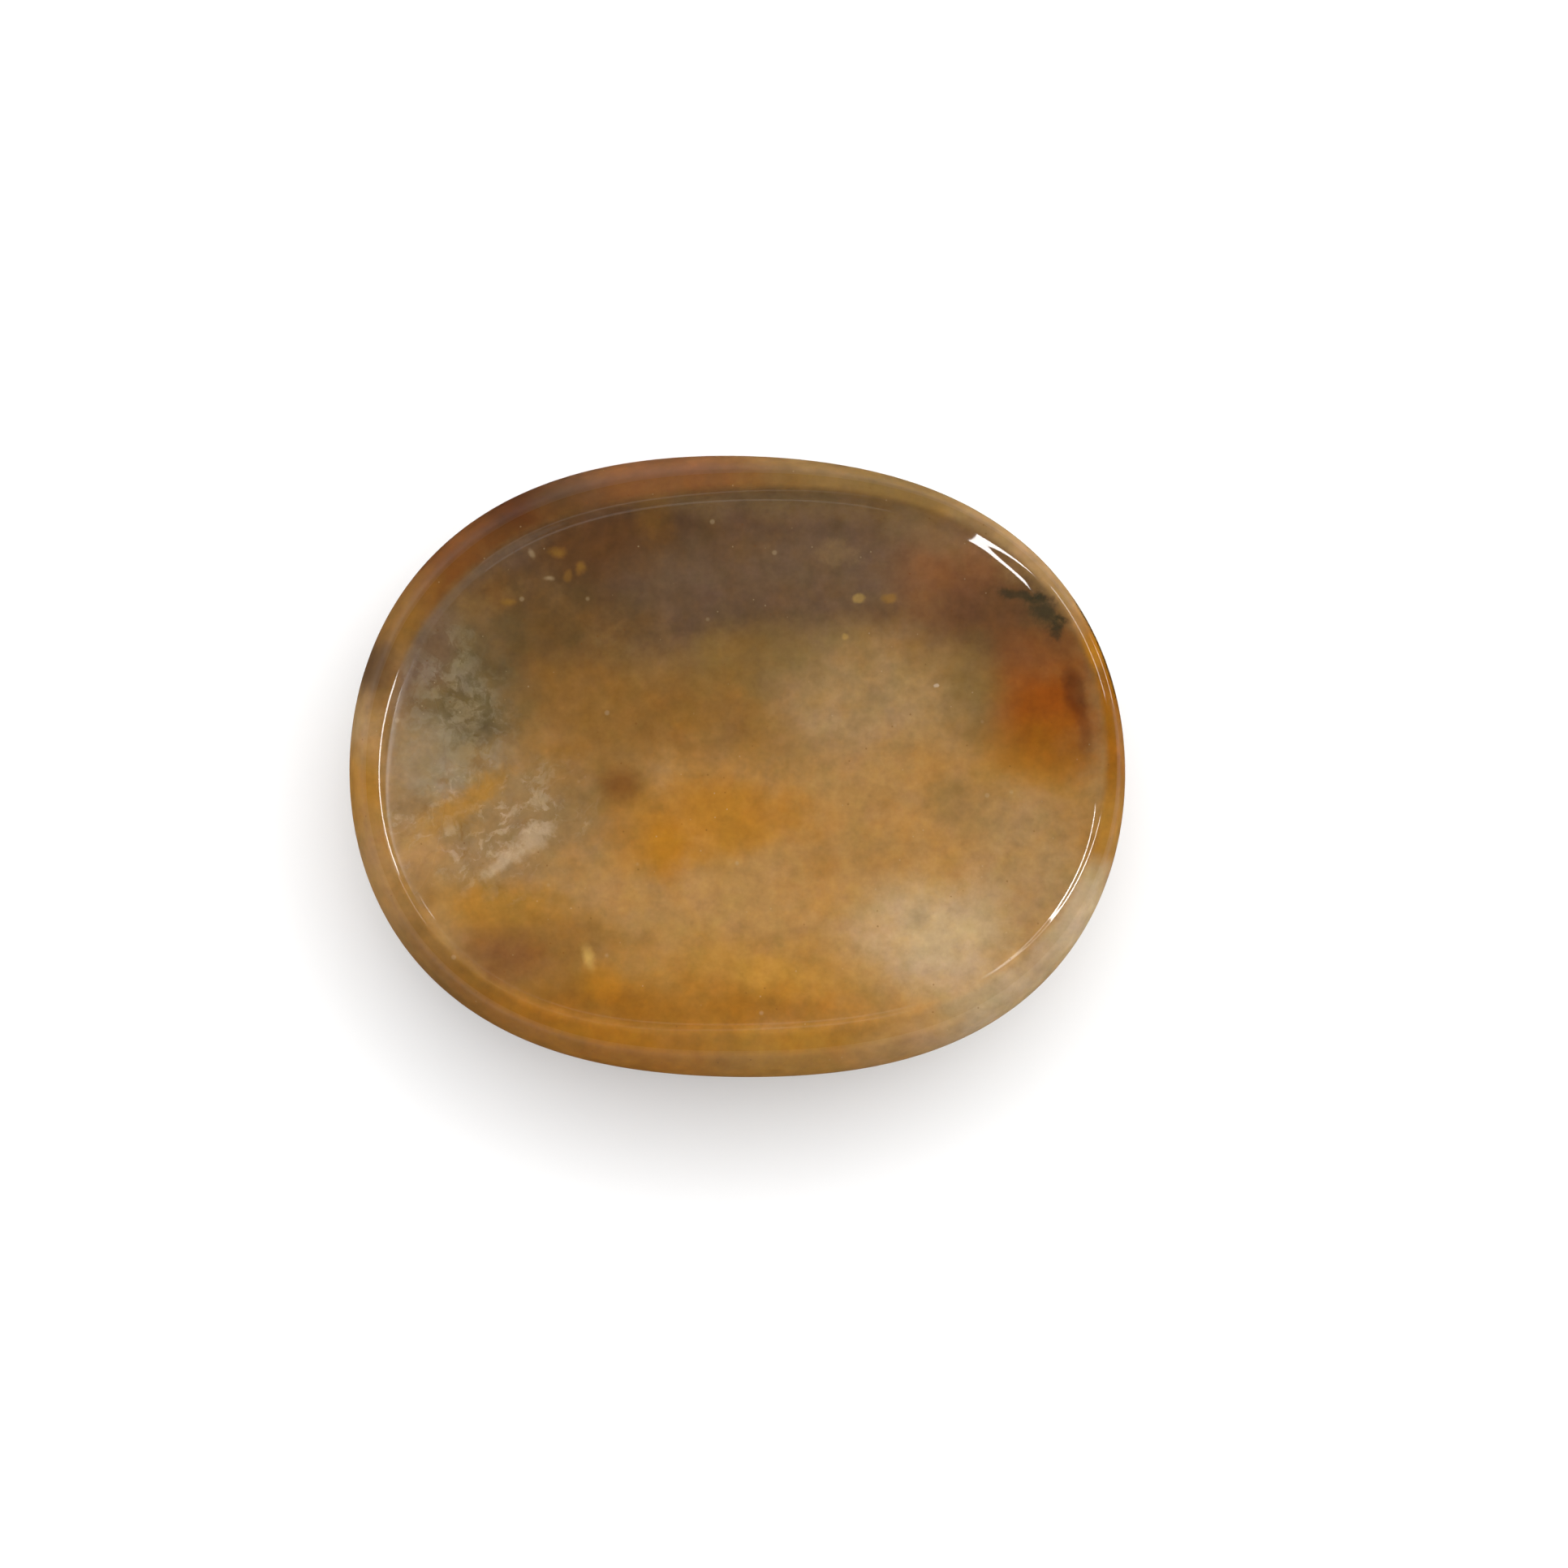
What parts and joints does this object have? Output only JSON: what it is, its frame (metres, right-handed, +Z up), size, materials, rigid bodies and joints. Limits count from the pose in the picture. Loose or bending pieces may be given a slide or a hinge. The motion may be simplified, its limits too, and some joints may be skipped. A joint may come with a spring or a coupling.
{
  "type": "citrine palm stone",
  "caption": "Polished oval of cloudy golden quartz to hold in the palm, with rounded sides, a shallow thumb dish inside a narrow lip, and a small flat spot to rest on.",
  "frame": {"origin": "middle of the bounding box's bottom, on the flat spot that the stone rests on", "axes": "+Z up out of the dish, X along the stone's length, Y across it"},
  "size_m": [0.0598, 0.048, 0.0105],
  "materials": {
    "polished_citrine": "polished"
  },
  "bodies": {
    "root": {"palm_stone": "polished_citrine"}
  },
  "joints": []
}
